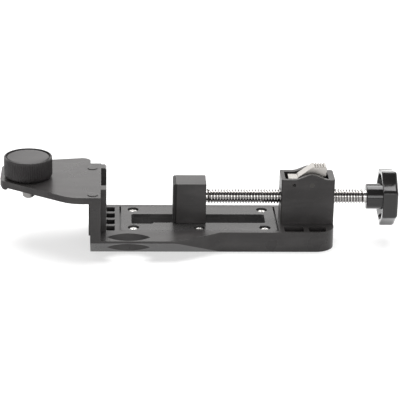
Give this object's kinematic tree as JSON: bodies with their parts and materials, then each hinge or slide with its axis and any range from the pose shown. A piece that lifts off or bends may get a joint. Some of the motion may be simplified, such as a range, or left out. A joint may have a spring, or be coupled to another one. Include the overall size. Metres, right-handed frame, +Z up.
{
  "type": "rod clamp for a laser receiver",
  "caption": "Clamp that holds a survey receiver on a staff: receiver plate with thumb screw, fixed jaw, screw-driven sliding jaw, quick-release lever and hand knob.",
  "frame": {"origin": "on the underside of the base, below the fixed jaw's contact face, in the plane of the spindle", "axes": "+X along the spindle from the fixed jaw to the hand knob, +Z up out of the base, -Y towards the reading wing"},
  "size_m": [0.208, 0.06, 0.0454],
  "materials": {
    "black_moulding": "fine grained matte",
    "dark_plate": "smooth satin",
    "bright_screws": "bright zinc",
    "brass_parts": "turned",
    "steel_pins": "plain",
    "pad_rubber": "matte",
    "bright_spindle": "bright zinc",
    "glossy_black": "glossy",
    "satin_nickel": "satin nickel",
    "knurled_black": "satin"
  },
  "bodies": {
    "frame": {"base_frame": "black_moulding", "slide_plate": "dark_plate", "slide_plate_screws": "bright_screws", "nut_housing": "black_moulding", "housing_screws": "bright_screws", "spindle_bush_left": "steel_pins", "spindle_bush_right": "steel_pins", "lever_pin": "steel_pins", "lever_spring": "steel_pins", "thumb_washer": "steel_pins"},
    "jaw": {"sliding_jaw": "black_moulding", "jaw_pad": "pad_rubber", "jaw_shoe": "dark_plate", "jaw_shoe_screws": "bright_screws", "thrust_washer": "steel_pins"},
    "screw": {"spindle": "bright_spindle", "spindle_retaining_ring": "steel_pins", "hand_knob": "glossy_black", "knob_roll_pin": "steel_pins"},
    "lever": {"release_lever": "satin_nickel"},
    "nut": {"half_nut": "brass_parts", "nut_pin": "steel_pins"},
    "clip": {"thumb_retaining_clip": "steel_pins"},
    "thumb": {"thumb_knob": "knurled_black", "thumb_screw": "bright_spindle"}
  },
  "joints": [
    {"name": "jaw_slide", "type": "slide", "parent": "frame", "child": "jaw", "axis": [1, 0, 0], "range_m": [-0.0169, 0.031]},
    {"name": "spindle_turn", "type": "hinge", "parent": "jaw", "child": "screw", "pos_m": [0.1, 0, 0.0237], "axis": [1, 0, 0], "range_deg": [-4058, 7442]},
    {"name": "lever_press", "type": "hinge", "parent": "frame", "child": "lever", "pos_m": [0.1072, -0.0005, 0.0325], "axis": [0, 1, 0], "range_deg": [0, 9], "stiffness_Nm_per_rad": 0.04, "springref_deg": -11.46, "deforming": ["lever_spring"]},
    {"name": "nut_lift", "type": "slide", "parent": "frame", "child": "nut", "axis": [0, 0, 1], "range_m": [0, 0.00147]},
    {"name": "thumb_lift", "type": "slide", "parent": "frame", "child": "clip", "axis": [0, 0, 1], "range_m": [0, 0.0012]},
    {"name": "thumb_spin", "type": "hinge", "parent": "clip", "child": "thumb", "pos_m": [-0.0406, 0, 0.034], "axis": [0, 0, 1], "continuous": true}
  ],
  "couplings": [
    {"joint": "spindle_turn", "follows": "jaw_slide", "rad_per_m": 4188.8},
    {"joint": "lever_press", "follows": "nut_lift", "rad_per_m": 106.38}
  ]
}
